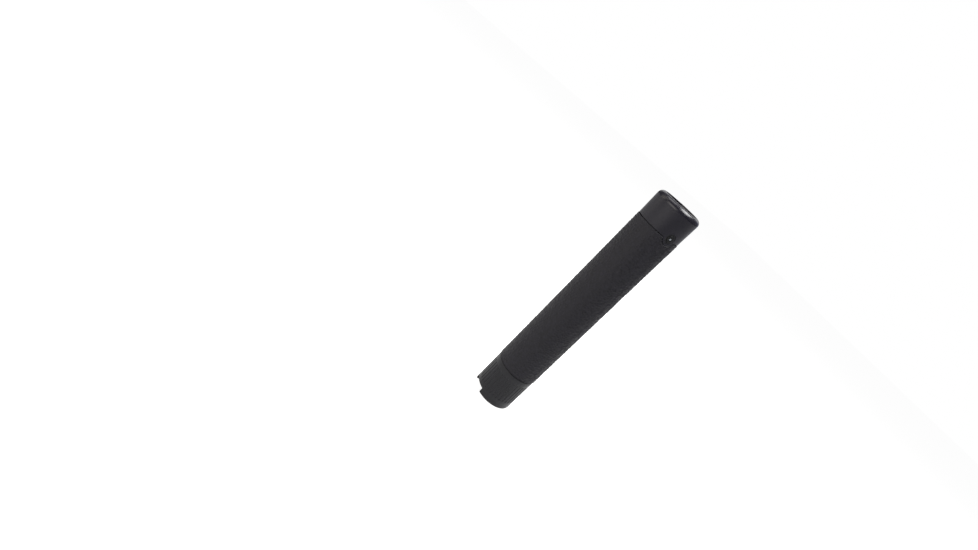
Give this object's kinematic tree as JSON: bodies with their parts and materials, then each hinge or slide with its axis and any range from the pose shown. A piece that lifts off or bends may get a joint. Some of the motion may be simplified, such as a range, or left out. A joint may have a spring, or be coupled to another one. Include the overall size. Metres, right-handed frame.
{
  "type": "tactical flashlight",
  "caption": "Rubber-sleeved round flashlight with a slightly flared head, rounded bezel, flush lens and reflector, side switch, and a screw-on fluted tail cap with a guarded push switch.",
  "frame": {"origin": "on the light's axis, in the plane of the tail cap's two guards, which it stands on", "axes": "+Z along the light towards the lens, -Y through the side switch"},
  "size_m": [0.034, 0.034, 0.196],
  "materials": {
    "anodised_aluminium": "hard anodised, satin black",
    "moulded_rubber": "fine matte texture",
    "lens_glass": "clear, coated",
    "reflector_metal": "vacuum metallised",
    "seal_rubber": "smooth",
    "boot_rubber": "smooth silicone",
    "turned_aluminium": "turned, plain",
    "brass": "turned",
    "gold_spring": "gold plated",
    "spring_steel": "drawn wire",
    "steel": "plain",
    "cell_steel": "nickel plated",
    "electrode_roll": "wound foil",
    "cell_wrap": "shrunk film",
    "washer_paper": "fibre paper",
    "circuit_board": "solder mask",
    "led_board_mask": "white mask on copper",
    "component": "moulded epoxy",
    "led_ceramic": "ceramic",
    "phosphor": "matt",
    "silicone_dome": "clear",
    "nylon": "moulded",
    "black_nylon": "moulded",
    "wire_red": "silicone insulation",
    "wire_black": "silicone insulation",
    "polyimide": "amber film",
    "light_pipe": "clear polycarbonate"
  },
  "bodies": {
    "light_body": {"barrel": "anodised_aluminium", "grip_sleeve": "moulded_rubber", "bezel_ring": "anodised_aluminium", "bezel_o_ring": "seal_rubber", "front_lens": "lens_glass", "lens_seal": "seal_rubber", "reflector": "reflector_metal", "led_base": "led_ceramic", "led_phosphor": "phosphor", "led_dome": "silicone_dome", "led_board": "led_board_mask", "led_board_screws": "steel", "led_centring_ring": "nylon", "led_lead_positive": "wire_red", "led_lead_negative": "wire_black", "led_pill": "turned_aluminium", "driver_board": "circuit_board", "driver_components": "component", "driver_spring": "gold_spring", "driver_retaining_ring": "brass", "rear_cell_can": "cell_steel", "rear_cell_washer": "washer_paper", "rear_cell_wrap": "cell_wrap", "front_cell_can": "cell_steel", "rear_cell_roll": "electrode_roll", "front_cell_roll": "electrode_roll", "rear_cell_cap": "cell_steel", "front_cell_cap": "cell_steel", "front_cell_washer": "washer_paper", "front_cell_wrap": "cell_wrap", "side_switch_housing": "black_nylon", "side_switch_board": "circuit_board", "side_tact_switch": "component", "side_boot": "boot_rubber", "side_switch_ring": "anodised_aluminium", "switch_flex": "polyimide", "tail_o_ring": "seal_rubber"},
    "side_button": {"side_plunger": "black_nylon", "indicator_window": "light_pipe"},
    "tail_contact": {"tail_spring": "gold_spring"},
    "tail_cap": {"tail_cap": "anodised_aluminium", "tail_boot": "boot_rubber", "boot_washer": "nylon", "tail_switch_holder": "black_nylon", "tail_switch_body": "component", "tail_switch_spring": "spring_steel", "tail_board": "circuit_board", "tail_retaining_ring": "brass"},
    "tail_button": {"tail_plunger": "black_nylon"}
  },
  "joints": [
    {"name": "tail_travel", "type": "slide", "parent": "light_body", "child": "tail_contact", "axis": [0, 0, -1], "range_m": [0, 0.007]},
    {"name": "tail_twist", "type": "hinge", "parent": "tail_contact", "child": "tail_cap", "pos_m": [0, 0, 0.0162], "axis": [0, 0, -1], "range_deg": [0, 1800]},
    {"name": "tail_press", "type": "slide", "parent": "tail_cap", "child": "tail_button", "axis": [0, 0, 1], "range_m": [0, 0.0022], "stiffness_N_per_m": 2500, "springref_m": -0.0008, "deforming": ["tail_boot", "tail_switch_spring"]},
    {"name": "side_press", "type": "slide", "parent": "light_body", "child": "side_button", "axis": [0, 1, 0], "range_m": [0, 0.0006], "stiffness_N_per_m": 3000, "springref_m": -0.0004, "deforming": ["side_boot"]}
  ],
  "couplings": [
    {"joint": "tail_travel", "follows": "tail_twist", "m_per_rad": 0.00022282}
  ]
}
